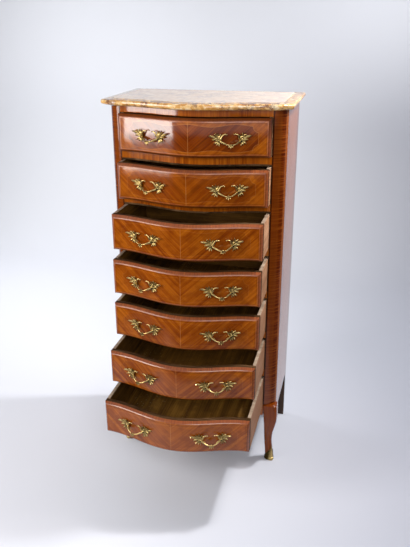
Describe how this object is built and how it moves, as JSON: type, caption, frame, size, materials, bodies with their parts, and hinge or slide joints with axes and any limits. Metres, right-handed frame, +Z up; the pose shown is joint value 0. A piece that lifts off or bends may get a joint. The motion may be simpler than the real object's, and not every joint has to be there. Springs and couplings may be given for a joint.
{
  "type": "semainier",
  "caption": "Tall narrow bow-fronted chest of drawers with canted posts, marble slab, curved legs, marquetry fronts and gilt pulls.",
  "frame": {"origin": "on the floor, midway across the width, and midway between the back and the pull of the drawer that is furthest open at rest", "axes": "+X to the right as seen from the front, +Y towards the back, +Z up; drawers open along -Y"},
  "size_m": [0.612, 0.6581, 1.295],
  "materials": {
    "veneer": "glossy varnish",
    "drawer_wood": "unvarnished",
    "carcass_wood": "unvarnished, stained",
    "marble": "polished",
    "gilt_brass": "worn gilding"
  },
  "bodies": {
    "case": {"front_post_right": "veneer", "front_leg_right": "veneer", "sabot_right": "gilt_brass", "side_panel_right": "veneer", "rear_post_right": "carcass_wood", "rear_leg_right": "veneer", "front_post_left": "veneer", "front_leg_left": "veneer", "sabot_left": "gilt_brass", "side_panel_left": "veneer", "rear_post_left": "carcass_wood", "rear_leg_left": "veneer", "apron": "veneer", "floor_board": "drawer_wood", "divider_1": "veneer", "divider_2": "veneer", "divider_3": "veneer", "divider_4": "veneer", "divider_5": "veneer", "divider_6": "veneer", "frieze_rail": "veneer", "top_board": "carcass_wood", "back_panel": "carcass_wood", "marble_top": "marble"},
    "drawer_1": {"drawer_1_front": "veneer", "drawer_1_box": "drawer_wood", "drawer_1_bottom": "drawer_wood", "drawer_1_pull_left": "gilt_brass", "drawer_1_pull_right": "gilt_brass"},
    "drawer_2": {"drawer_2_front": "veneer", "drawer_2_box": "drawer_wood", "drawer_2_bottom": "drawer_wood", "drawer_2_pull_left": "gilt_brass", "drawer_2_pull_right": "gilt_brass"},
    "drawer_3": {"drawer_3_front": "veneer", "drawer_3_box": "drawer_wood", "drawer_3_bottom": "drawer_wood", "drawer_3_pull_left": "gilt_brass", "drawer_3_pull_right": "gilt_brass"},
    "drawer_4": {"drawer_4_front": "veneer", "drawer_4_box": "drawer_wood", "drawer_4_bottom": "drawer_wood", "drawer_4_pull_left": "gilt_brass", "drawer_4_pull_right": "gilt_brass"},
    "drawer_5": {"drawer_5_front": "veneer", "drawer_5_box": "drawer_wood", "drawer_5_bottom": "drawer_wood", "drawer_5_pull_left": "gilt_brass", "drawer_5_pull_right": "gilt_brass"},
    "drawer_6": {"drawer_6_front": "veneer", "drawer_6_box": "drawer_wood", "drawer_6_bottom": "drawer_wood", "drawer_6_pull_left": "gilt_brass", "drawer_6_pull_right": "gilt_brass"},
    "drawer_7": {"drawer_7_front": "veneer", "drawer_7_box": "drawer_wood", "drawer_7_bottom": "drawer_wood", "drawer_7_pull_left": "gilt_brass", "drawer_7_pull_right": "gilt_brass"}
  },
  "joints": [
    {"name": "drawer_1_slide", "type": "slide", "parent": "case", "child": "drawer_1", "axis": [0, -1, 0], "range_m": [-0.022, 0.253]},
    {"name": "drawer_2_slide", "type": "slide", "parent": "case", "child": "drawer_2", "axis": [0, -1, 0], "range_m": [-0.0495, 0.2255]},
    {"name": "drawer_3_slide", "type": "slide", "parent": "case", "child": "drawer_3", "axis": [0, -1, 0], "range_m": [-0.1199, 0.1551]},
    {"name": "drawer_4_slide", "type": "slide", "parent": "case", "child": "drawer_4", "axis": [0, -1, 0], "range_m": [-0.1309, 0.1441]},
    {"name": "drawer_5_slide", "type": "slide", "parent": "case", "child": "drawer_5", "axis": [0, -1, 0], "range_m": [-0.1369, 0.1381]},
    {"name": "drawer_6_slide", "type": "slide", "parent": "case", "child": "drawer_6", "axis": [0, -1, 0], "range_m": [-0.1961, 0.0789]},
    {"name": "drawer_7_slide", "type": "slide", "parent": "case", "child": "drawer_7", "axis": [0, -1, 0], "range_m": [-0.2681, 0.0069]}
  ]
}
